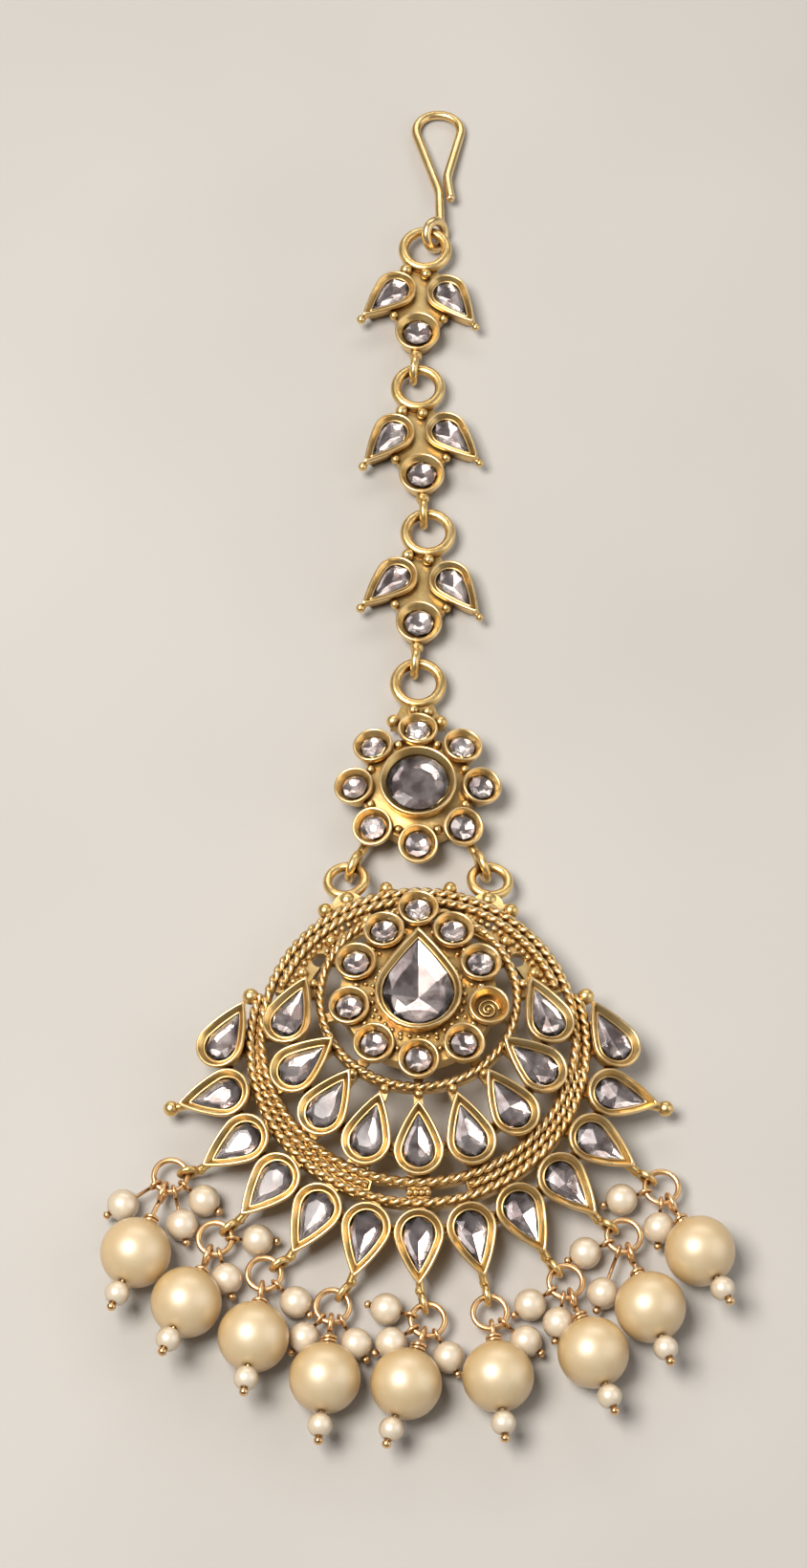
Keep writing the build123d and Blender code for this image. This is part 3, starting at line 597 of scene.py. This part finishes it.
@dataclass(frozen=True)
class Dome:
    """Spherical face that carries settings."""

    radius: float
    top: float
    mid: tuple[float, float]

    def height(self, x: float, y: float, lift: float = 0.0) -> float:
        """Height of the dome over a point, plus a lift along its radius."""
        r = self.radius + lift
        return self.top - self.radius + math.sqrt(r * r - (x - self.mid[0]) ** 2 - (y - self.mid[1]) ** 2)

    def place(self, x: float, y: float, lift: float = 0.0, bearing: float = 0.0) -> Matrix:
        """Placement on the dome, its X axis along a bearing."""
        at = Vector((x, y, self.height(x, y, lift)))
        heart = Vector((*self.mid, self.top - self.radius))
        return place_at(at, Vector((*polar(1, bearing), 0)), at - heart)


PENDANT_DOME = Dome(70.0, 5.9, (0.0, -5.6))
FLOWER_DOME = Dome(28.0, 2.45, (0.0, FLOWER_Y))
FLAT_PEAR = Setting(PearOutline(2.45, PEAR_TIP, 71), middle=0.75)
SMALL_PEAR = Setting(PearOutline(2.45, PEAR_TIP, 71), middle=0.75, culet=0.0, keel=0.78)
LEAF = Setting(PearOutline(2.25, 5.1, 71), seat=0.68, middle=0.75, culet=0.0, keel=0.78)
CENTRE_PEAR = Setting(PearOutline(4.35, 7.0, 57), seat=0.62, corners=14, stone_height=1.6, middle=-0.4,
                      culet=0.0)
HALO_ROUND = Setting(RoundOutline(2.05), seat=0.6, corners=8, lip=False, culet=0.25)
LINK_ROUND = Setting(RoundOutline(2.45), seat=0.75, corners=8, lip=False, culet=0.25)
FLOWER_ROUND = Setting(RoundOutline(4.0), seat=0.7, corners=12, stone_height=1.5, lip=False, culet=0.6)


@dataclass
class Jeweller:
    """Sets a family of stones: collects rims, crowns and foils and makes the pieces."""

    name: str
    rims: Shape = field(default_factory=Shape)
    crowns: Shape = field(default_factory=Shape)
    foils: Shape = field(default_factory=Shape)

    def set_stone(self, setting: Setting, place: Matrix, stone: bool = True) -> None:
        """Put a rim on a setting and, unless it is empty, a stone in it."""
        setting.rim(self.rims, place)
        if stone:
            setting.crown(self.crowns, place)
            setting.foil(self.foils, place)

    def finish(self, gold: GoldFinish, slot: Slot, stone_nodes: Sequence[str]) -> None:
        """Make the rims, the crystals that stand for the CAD stones, and their foils."""
        self.rims.piece(f"{self.name}_rims", gold, slot)
        self.crowns.piece(f"{self.name}_crystals", CRYSTAL, Slot.CRYSTAL, False, stone_nodes)
        self.foils.piece(f"{self.name}_foils", FOIL, Slot.CRYSTAL, False)


# ---- pendant ---------------------------------------------------------------------------
@dataclass(frozen=True)
class DomeWire:
    """Circle or arc on the dome: radius, middle on Y, first bearing and sweep in degrees."""

    r: float
    y: float
    start: float
    sweep: float
    size: float = 1.0

    @property
    def closed(self) -> bool:
        """Whether it runs all the way round."""
        return self.sweep == 360.0


@dataclass(frozen=True)
class BeadRow:
    """Row of fine balls along a line of the dome: their spacing, lift and radius."""

    line: DomeWire
    step: float
    lift: float
    bead: float


@dataclass
class Pendant:
    """Domed, pierced pendant: settings, rope wires and beaded wires."""

    strand: float = 0.30
    strand_offset: float = 0.24
    lay: float = 2.3
    steps: int = 12
    ropes: tuple[DomeWire, ...] = (
        DomeWire(15.9, MEDALLION_Y, 0.0, 360.0),
        DomeWire(17.0, -5.8, -198.0, 216.0),
        DomeWire(14.9, MEDALLION_Y, 20.0, 140.0, 0.95),
        DomeWire(10.0, -1.2, 0.0, 360.0, 0.88),
        DomeWire(16.45, -5.35, -72.0, 60.0, 0.84),
        DomeWire(16.45, -5.35, -168.0, 60.0, 0.84),
    )
    bead_rows: tuple[BeadRow, ...] = (
        BeadRow(DomeWire(13.95, MEDALLION_Y, 24.0, 45.0), 0.78, 0.12, 0.34),
        BeadRow(DomeWire(13.95, MEDALLION_Y, 111.0, 45.0), 0.78, 0.12, 0.34),
        BeadRow(DomeWire(12.9, MEDALLION_Y, 44.0, 22.0), 0.9, 0.1, 0.3),
        BeadRow(DomeWire(12.9, MEDALLION_Y, 114.0, 22.0), 0.9, 0.1, 0.3),
        BeadRow(DomeWire(16.45, -5.35, -93.2, 6.4), 0.86, 0.1, 0.4),
    )
    halo: tuple[tuple[float, float, bool], ...] = (
        (0.0, 8.3, True), (3.6, 5.7, True), (6.35, 1.95, True), (7.15, -2.95, False), (4.6, -7.1, True),
        (0.0, -8.85, True), (-4.5, -7.1, True), (-7.0, -2.95, True), (-6.35, 2.05, True), (-3.5, 5.7, True),
    )

    def outer_pears(self) -> list[Matrix]:
        """Rim placements of the thirteen outer pears, left to right."""
        places = []
        for step in range(-6, 7):
            x, y = polar(20.1, -90 + 15 * step)
            bearing = -90.0 + 15 * step
            if abs(step) == 6:
                bearing = 90 + 31 * step / 6
            if abs(step) == 5:
                bearing += 6 * step / 5
            places.append(PENDANT_DOME.place(x, y - 6.2, RIM, bearing))
        return places

    def inner_pears(self) -> list[Matrix]:
        """Rim placements of the nine inner pears, left to right."""
        places = []
        for step in range(-4, 5):
            x, y = polar(13.35, -90 + 23.2 * step)
            y += MEDALLION_Y
            bearing = math.degrees(math.atan2(-y, -x))
            if abs(step) == 4:
                bearing = 90 + 23.5 * step / 4
            places.append(PENDANT_DOME.place(x, y, RIM, bearing))
        return places

    def wire_line(self, wire: DomeWire, step: float, lift: float) -> tuple[Points, Points]:
        """Points and dome normals along a line of the dome, a step apart.

        Args:
            wire: the circle or arc.
            step: distance between points.
            lift: height over the metal.

        Returns:
            Points of the line and the dome's normals there.
        """
        count = max(3, round(math.radians(wire.sweep) * wire.r / step))
        points, normals = [], []
        for i in range(count + (0 if wire.closed else 1)):
            x, dy = polar(wire.r, wire.start + wire.sweep * i / count)
            place = PENDANT_DOME.place(x, wire.y + dy, lift)
            points.append(place.translation[:])
            normals.append((place.to_3x3() @ Vector((0, 0, 1)))[:])
        return np.array(points), np.array(normals)

    def rope_wires(self) -> None:
        """Two-strand twisted ropes over the plain wires."""
        shape = Shape()
        for rope in self.ropes:
            line, normals = self.wire_line(rope, self.lay * rope.size / self.steps, 0.2)
            run = np.roll(line, -1, 0) - line
            if not rope.closed:
                run[-1] = run[-2]
            run /= np.linalg.norm(run, axis=1)[:, None]
            side = np.cross(normals, run)
            turns = round(len(line) / self.steps) if rope.closed else len(line) / self.steps
            turn = np.arange(len(line)) / len(line) * turns * 2 * math.pi
            for strand in (0.0, math.pi):
                offset = np.cos(turn + strand)[:, None] * normals + np.sin(turn + strand)[:, None] * side
                path = line + rope.size * self.strand_offset * offset
                shape.tube(path, rope.size * self.strand, 7, rope.closed)
        shape.piece("pendant_ropes", WIRE_GOLD, Slot.PENDANT)

    def granulation(self) -> None:
        """Fine balls on the shoulders, beside the lower ropes and on the raised ground."""
        shape = Shape()
        for row in self.bead_rows:
            line, _ = self.wire_line(row.line, row.step, row.lift)
            for at in line:
                shape.ball(at, row.bead, 6, 9)
        for x, y in CENTRE_PEAR.outline.loop(54, -0.34):
            at = PENDANT_DOME.place(-y, x + CENTRE_PEAR_Y, GROUND).translation
            shape.ball(at, 0.27, 6, 9)
        for (x, y, _), (next_x, next_y, _) in zip(self.halo, self.halo[1:] + self.halo[:1]):
            for share, bead in ((0.94, 0.34), (0.80, 0.25)):
                at = PENDANT_DOME.place(share * (x + next_x) / 2, share * (y + next_y) / 2, GROUND)
                shape.ball(at.translation, bead, 6, 9)
        shape.piece("pendant_granulation", WIRE_GOLD, Slot.PENDANT)

    def empty_cup(self) -> None:
        """The curl of cement and solder left in the empty setting."""
        shape = Shape()
        x, y, _ = self.halo[3]
        place = PENDANT_DOME.place(x, y, RIM)
        turn = np.linspace(0, 3.6 * math.pi, 46)
        r = 1.15 - 0.85 * turn / turn[-1]
        curl = np.stack([r * np.cos(turn), r * np.sin(turn), np.full(46, -1.2)], 1)
        shape.tube(moved(curl, place), 0.13, 6)
        shape.ball(moved(np.array([[0.05, 0.0, -1.15]]), place)[0], 0.24)
        shape.piece("empty_cup_curl", CAST_GOLD, Slot.PENDANT)

    def make(self) -> None:
        """Build and dress the pendant."""
        CAST_GOLD.dress("pendant_frame")
        pears = Jeweller("outer_pear")
        for number, place in enumerate(self.outer_pears()):
            pears.set_stone(FLAT_PEAR if number < 3 else SMALL_PEAR, place)
        pears.finish(WIRE_GOLD, Slot.PENDANT, ["outer_pear_stones"])
        pears = Jeweller("inner_pear")
        for place in self.inner_pears():
            pears.set_stone(SMALL_PEAR, place)
        pears.finish(WIRE_GOLD, Slot.PENDANT, ["inner_pear_stones"])
        rounds = Jeweller("halo")
        for x, y, stone in self.halo:
            rounds.set_stone(HALO_ROUND, PENDANT_DOME.place(x, y, RIM), stone)
        rounds.finish(WIRE_GOLD, Slot.PENDANT, ["halo_stones"])
        centre = Jeweller("pendant_centre")
        centre.set_stone(CENTRE_PEAR, PENDANT_DOME.place(0, CENTRE_PEAR_Y, CENTRE_RIM, 90))
        centre.finish(WIRE_GOLD, Slot.PENDANT, ["pendant_centre_stone"])
        self.rope_wires()
        self.granulation()
        self.empty_cup()


# ---- flower and links ------------------------------------------------------------------
@dataclass
class Flower:
    """Round flower setting above the pendant."""

    petals: int = 8
    ring: float = 6.75

    def make(self) -> None:
        """Build and dress the flower."""
        CAST_GOLD.dress("flower_setting")
        rounds = Jeweller("flower_petal")
        x, y = FLOWER_DOME.mid
        for i in range(self.petals):
            dx, dy = polar(self.ring, 90 - 360 * i / self.petals)
            rounds.set_stone(HALO_ROUND, FLOWER_DOME.place(x + dx, y + dy, RIM))
        rounds.finish(WIRE_GOLD, Slot.CHAIN, ["flower_petal_stones"])
        centre = Jeweller("flower_centre")
        centre.set_stone(FLOWER_ROUND, FLOWER_DOME.place(x, y, 2.3))
        centre.finish(WIRE_GOLD, Slot.CHAIN, ["flower_centre_stone"])


@dataclass
class LeafLink:
    """One link of the chain: two leaf settings and a round one."""

    number: int
    x: float
    y: float
    turn: float
    top: float = 2.6

    def make(self) -> None:
        """Build and dress the link."""
        CAST_GOLD.dress(f"leaf_link_{self.number}")
        base = Matrix.Translation((self.x, self.y, 0)) @ Matrix.Rotation(math.radians(self.turn), 4, "Z")
        stones = Jeweller(f"leaf_{self.number}")
        for side in (-1, 1):
            turn = Matrix.Rotation(math.radians(-90 + side * 41.4), 4, "Z")
            stones.set_stone(LEAF, base @ Matrix.Translation((side * 2.86, -5.9, self.top)) @ turn)
        stones.set_stone(LINK_ROUND, base @ Matrix.Translation((0, -11.34, self.top)))
        stones.finish(WIRE_GOLD, Slot.CHAIN, [f"leaf_{self.number}_stones"])


LINKS = (LeafLink(1, 0.95, 92.05, -4.5), LeafLink(2, 0.1, 73.6, 2.0), LeafLink(3, 1.15, 55.03, -5.0))


# ---- drops -----------------------------------------------------------------------------
@dataclass(frozen=True)
class DropRow:
    """How one drop hangs: bearings in degrees, distances in millimetres."""

    tip: int
    eye: float
    pearl: float
    reach: float
    rise: float
    side: tuple[tuple[float, float], ...]


@dataclass
class PearlDrop:
    """Jump ring, large pearl, small pearls and head pins of one drop.

    Radii are in millimetres. jump_wire is the solid ring's wire, and jump_extra is added to it
    for looks alone. head and side_head are also larger than the solids' 0.42 and 0.34. pin_gap
    is the room round a pin in its bead, and wraps the turns of wire above the large pearl.
    """

    number: int
    row: DropRow
    tip_place: Matrix
    jump_r: float = 1.66
    jump_wire: float = 0.24
    jump_extra: float = 0.06
    jump_z: float = 1.8
    pearl_r: float = 3.5
    side_r: float = 1.6
    end_r: float = 1.23
    pin: float = 0.25
    side_pin: float = 0.19
    loop_r: float = 1.0
    side_loop_r: float = 0.6
    head: float = 0.47
    side_head: float = 0.42
    head_flat: float = 0.86
    pin_gap: float = 0.1
    wraps: float = 2.0
    coil_r: float = 0.60
    coil_wire: float = 0.20

    def jump_place(self) -> Matrix:
        """Placement of the jump ring, X along the tip eye's bearing."""
        tip = self.tip_place @ Vector((PEAR_TIP, 0, -0.95))
        out = polar(1.7 + self.jump_r + 0.14, self.row.eye)
        along = Vector((*polar(math.cos(math.radians(4)), self.row.eye), -math.sin(math.radians(4))))
        return place_at(Vector((tip.x + out[0], tip.y + out[1], self.jump_z)), along,
                        Vector((0, 0, 1)))

    def wire_point(self, bearing: float) -> Vector:
        """Point of the jump ring's wire at a bearing."""
        return self.jump_place() @ Vector((*polar(self.jump_r, bearing - self.row.eye), 0))

    def jump_ring(self) -> None:
        """Round wire ring with the fine cut where it was closed."""
        shape = Shape()
        turn = np.radians(np.linspace(183, 539, 72))
        line = np.stack([np.cos(turn), np.sin(turn), np.zeros(72)], 1) * self.jump_r
        shape.tube(moved(line, self.jump_place()), self.jump_wire + self.jump_extra, 12)
        shape.piece(f"drop_{self.number}_jump_ring", ROSE_WIRE, Slot.DROP, True,
                    [f"drop_{self.number}_ring"])

    def bead(self, shape: Shape, at: Vector, axis: Vector, r: float, hole: float, sides: int) -> None:
        """Drilled bead with a softened hole edge."""
        start = math.asin((hole + 0.07) / r)
        angles = np.linspace(start, math.pi - start, sides // 2)
        skin = np.stack([r * np.sin(angles), r * np.cos(angles)], 1)
        lip = r * math.cos(start) - 0.05
        profile = np.vstack([[(hole, -lip + 0.2), (hole, lip - 0.2), (hole + 0.01, lip)], skin,
                             [(hole + 0.01, -lip)]])
        shape.lathe(profile, place_at(at, axis.orthogonal(), axis), sides, True)

    def head_pin(self, shape: Shape, loop_at: Vector, loop_r: float, wire: float,
                 route: Sequence[Vector], head: float, wraps: float) -> None:
        """Head pin: an almost closed loop, its shank and a small flattened ball.

        Args:
            shape: mesh that it joins.
            loop_at: middle of the loop.
            loop_r: radius of the loop's centre line.
            wire: radius of the wire.
            route: points of the shank from the loop to the head.
            head: radius of the ball.
            wraps: turns of wire wound on the shank above the bead, or 0.
        """
        run = (route[0] - loop_at).normalized()
        side = Vector((0, 0, 1)).cross(run).normalized()
        up = run.cross(side)
        turn = np.linspace(0.0, 2 * math.pi * 0.95, 40)
        line = [loop_at + loop_r * (run * math.cos(t) + up * math.sin(t)) for t in turn]
        line.reverse()
        line += [loop_at.lerp(route[0], s) + run * loop_r * (1 - s) for s in (0.35, 0.7)]
        line += list(route)
        shape.tube(np.array([p[:] for p in line]), wire, 9)
        axis = (route[-1] - route[-2]).normalized() if len(route) > 1 else run
        angles = np.linspace(-math.pi / 2 + 0.1, math.pi / 2 - 0.1, 9)
        profile = np.stack([head * np.cos(angles), head * self.head_flat * np.sin(angles)], 1)
        shape.lathe(profile, place_at(route[-1], axis.orthogonal(), axis), 14)
        if wraps:
            square = axis.orthogonal().normalized()
            other = axis.cross(square)
            turn = np.linspace(0, 2 * math.pi * wraps, int(16 * wraps))
            coil = [route[0] + axis * (-0.42 + 0.80 * t / turn[-1])
                    + (square * math.cos(t) + other * math.sin(t)) * self.coil_r for t in turn]
            shape.tube(np.array([p[:] for p in coil]), self.coil_wire, 8)

    def make(self) -> None:
        """Build and dress the drop."""
        row, n = self.row, self.number
        self.jump_ring()
        jump = self.jump_place().translation
        away = Vector((*polar(1, row.pearl), 0))
        rise = math.radians(row.rise)
        axis = away * math.cos(rise) + Vector((0, 0, math.sin(rise)))
        at = Vector((jump.x, jump.y, 0)) + away * row.reach
        at.z = self.pearl_r + REST_GAP
        end_at = at + axis * (self.pearl_r + 0.1 + self.end_r)
        pearl, small, pins = Shape(), Shape(), Shape()
        self.bead(pearl, at, axis, self.pearl_r, self.pin + self.pin_gap, 48)
        self.bead(small, end_at, axis, self.end_r, self.pin + self.pin_gap, 26)
        loop_at = self.wire_point(row.pearl)
        loop_at += away * (self.loop_r - self.pin - self.jump_wire - 0.16) + Vector((0, 0, 0.25))
        elbow = at - axis * (self.pearl_r + 0.45)
        tail = end_at + axis * (self.end_r + 0.36)
        self.head_pin(pins, loop_at, self.loop_r, self.pin, [elbow, tail], self.head, self.wraps)
        for bearing, reach in row.side:
            wire_at = self.wire_point(bearing)
            bead_at = Vector((jump.x, jump.y, 0)) + Vector((*polar(reach, bearing), 0))
            bead_at.z = self.side_r + 0.03
            aim = (bead_at - wire_at).normalized()
            self.bead(small, bead_at, aim, self.side_r, self.side_pin + self.pin_gap, 30)
            self.head_pin(pins, wire_at + aim * 0.1, self.side_loop_r, self.side_pin,
                          [bead_at + aim * (self.side_r + 0.3)], self.side_head, 0.0)
        pearl.piece(f"drop_{n}_large_pearl", CREAM_PEARL, Slot.PEARL, True, [f"drop_{n}_pearl"])
        small.piece(f"drop_{n}_side_pearls", WHITE_PEARL, Slot.SMALL_PEARL, True,
                    [f"drop_{n}_small_pearls"])
        pins.piece(f"drop_{n}_head_pins", ROSE_WIRE, Slot.DROP, True, [f"drop_{n}_pins"])


# The solids have the same rows. A random search found all but tip and rise: it kept each pearl
# and ring near its place, and the parts clear of each other.
DROP_ROWS: tuple[DropRow, ...] = (
    DropRow(-60, -169.2, -109.7, 9.22, 10, ((-146.9, 5.57), (-37.0, 4.25), (-76.0, 5.28))),
    DropRow(-45, -142.0, -109.9, 7.64, 19, ((-1.6, 4.24), (-73.5, 4.33))),
    DropRow(-30, -147.0, -97.2, 7.09, 16, ((-42.4, 4.26),)),
    DropRow(-15, -126.8, -94.9, 7.85, 3, ((-131.2, 4.25), (-58.6, 4.43))),
    DropRow(0, -75.0, -107.1, 7.33, 3, ((163.9, 4.28), (-147.7, 4.29), (-61.7, 4.26))),
    DropRow(15, -79.9, -84.5, 7.07, 5, ((-39.4, 4.55),)),
    DropRow(30, -51.3, -72.5, 8.18, 6, ((-146.9, 4.25), (-100.8, 4.26))),
    DropRow(45, -33.0, -73.9, 8.25, 13, ((-110.6, 6.29), (-156.2, 4.24))),
    DropRow(60, -32.7, -64.8, 8.04, 13, ((-163.2, 4.24), (-95.4, 4.26))),
)


# ---- studio ----------------------------------------------------------------------------
@dataclass
class Studio:
    """Pale table, soft lights and the camera."""

    target: tuple[float, float, float] = (-1.5, 25.5, 0.0)
    elevation: float = 63.6
    distance: float = 400.0
    lens: float = 86.84

    def table(self) -> None:
        """The surface that the piece lies on."""
        size = 1.5
        mesh = bpy.data.meshes.new("table")
        mesh.from_pydata([(-size, -size, 0), (size, -size, 0), (size, size, 0), (-size, size, 0)], [],
                         [(0, 1, 2, 3)])
        made = bpy.data.objects.new("table", mesh)
        bpy.context.scene.collection.objects.link(made)
        made.data.materials.append(TableTopFinish().material())

    def soft_box(self, name: str, at: tuple[float, float, float], size: tuple[float, float],
                 power: float, colour: tuple[float, float, float]) -> None:
        """Rectangular area light that faces the piece."""
        light = bpy.data.lights.new(name, "AREA")
        light.shape = "RECTANGLE"
        light.size, light.size_y = size
        light.energy = power
        light.color = colour
        made = bpy.data.objects.new(name, light)
        bpy.context.scene.collection.objects.link(made)
        made.location = at
        made.rotation_mode = "QUATERNION"
        made.rotation_quaternion = (-Vector(at)).to_track_quat("-Z", "Y")

    def camera(self) -> None:
        """Camera looking down along the piece from the pearls' end."""
        data = bpy.data.cameras.new("camera")
        data.lens = self.lens
        data.sensor_width = 36.0
        made = bpy.data.objects.new("camera", data)
        bpy.context.scene.collection.objects.link(made)
        up = math.radians(self.elevation)
        target = Vector(((np.array(self.target) + WORK_ORIGIN) / MM).tolist())
        back = Vector((0.0, -math.cos(up), math.sin(up)))
        made.location = target + back * self.distance / MM
        made.rotation_mode = "QUATERNION"
        made.rotation_quaternion = (-back).to_track_quat("-Z", "Y")
        data.clip_start, data.clip_end = 0.01, 10.0
        bpy.context.scene.camera = made

    def make(self) -> None:
        """Set up the table, the lights, the surroundings and the camera."""
        self.table()
        self.soft_box("key", (-0.22, -0.06, 0.55), (0.28, 0.28), 4.4, (1.0, 0.97, 0.93))
        self.soft_box("card", (-0.30, 0.26, 0.42), (0.18, 0.24), 0.07, (1.0, 0.97, 0.95))
        self.soft_box("fill", (0.50, -0.05, 0.30), (0.50, 0.50), 1.0, (0.97, 0.98, 1.0))
        self.soft_box("rim", (0.05, 0.50, 0.36), (0.60, 0.16), 1.0, (1.0, 0.98, 0.95))
        world = bpy.data.worlds.new("studio")
        bpy.context.scene.world = world
        world.use_nodes = True
        ground = world.node_tree.nodes["Background"]
        ground.inputs["Color"].default_value = (0.80, 0.82, 0.86, 1.0)
        ground.inputs["Strength"].default_value = 0.17
        look = bpy.context.scene.view_settings
        look.view_transform, look.look = "Standard", "None"
        look.exposure = 0.0
        self.camera()


def main() -> None:
    """Build every sub-assembly in order, from the hook down to the drops."""
    logging.basicConfig(level=logging.INFO, format="%(name)s %(message)s")
    WIRE_GOLD.dress("hair_hook")
    for link in LINKS:
        link.make()
    Flower().make()
    pendant = Pendant()
    pendant.make()
    pears = pendant.outer_pears()
    for number, row in enumerate(DROP_ROWS, 1):
        PearlDrop(number, row, pears[6 + row.tip // 15]).make()
    Studio().make()


if __name__ == "__main__":
    main()
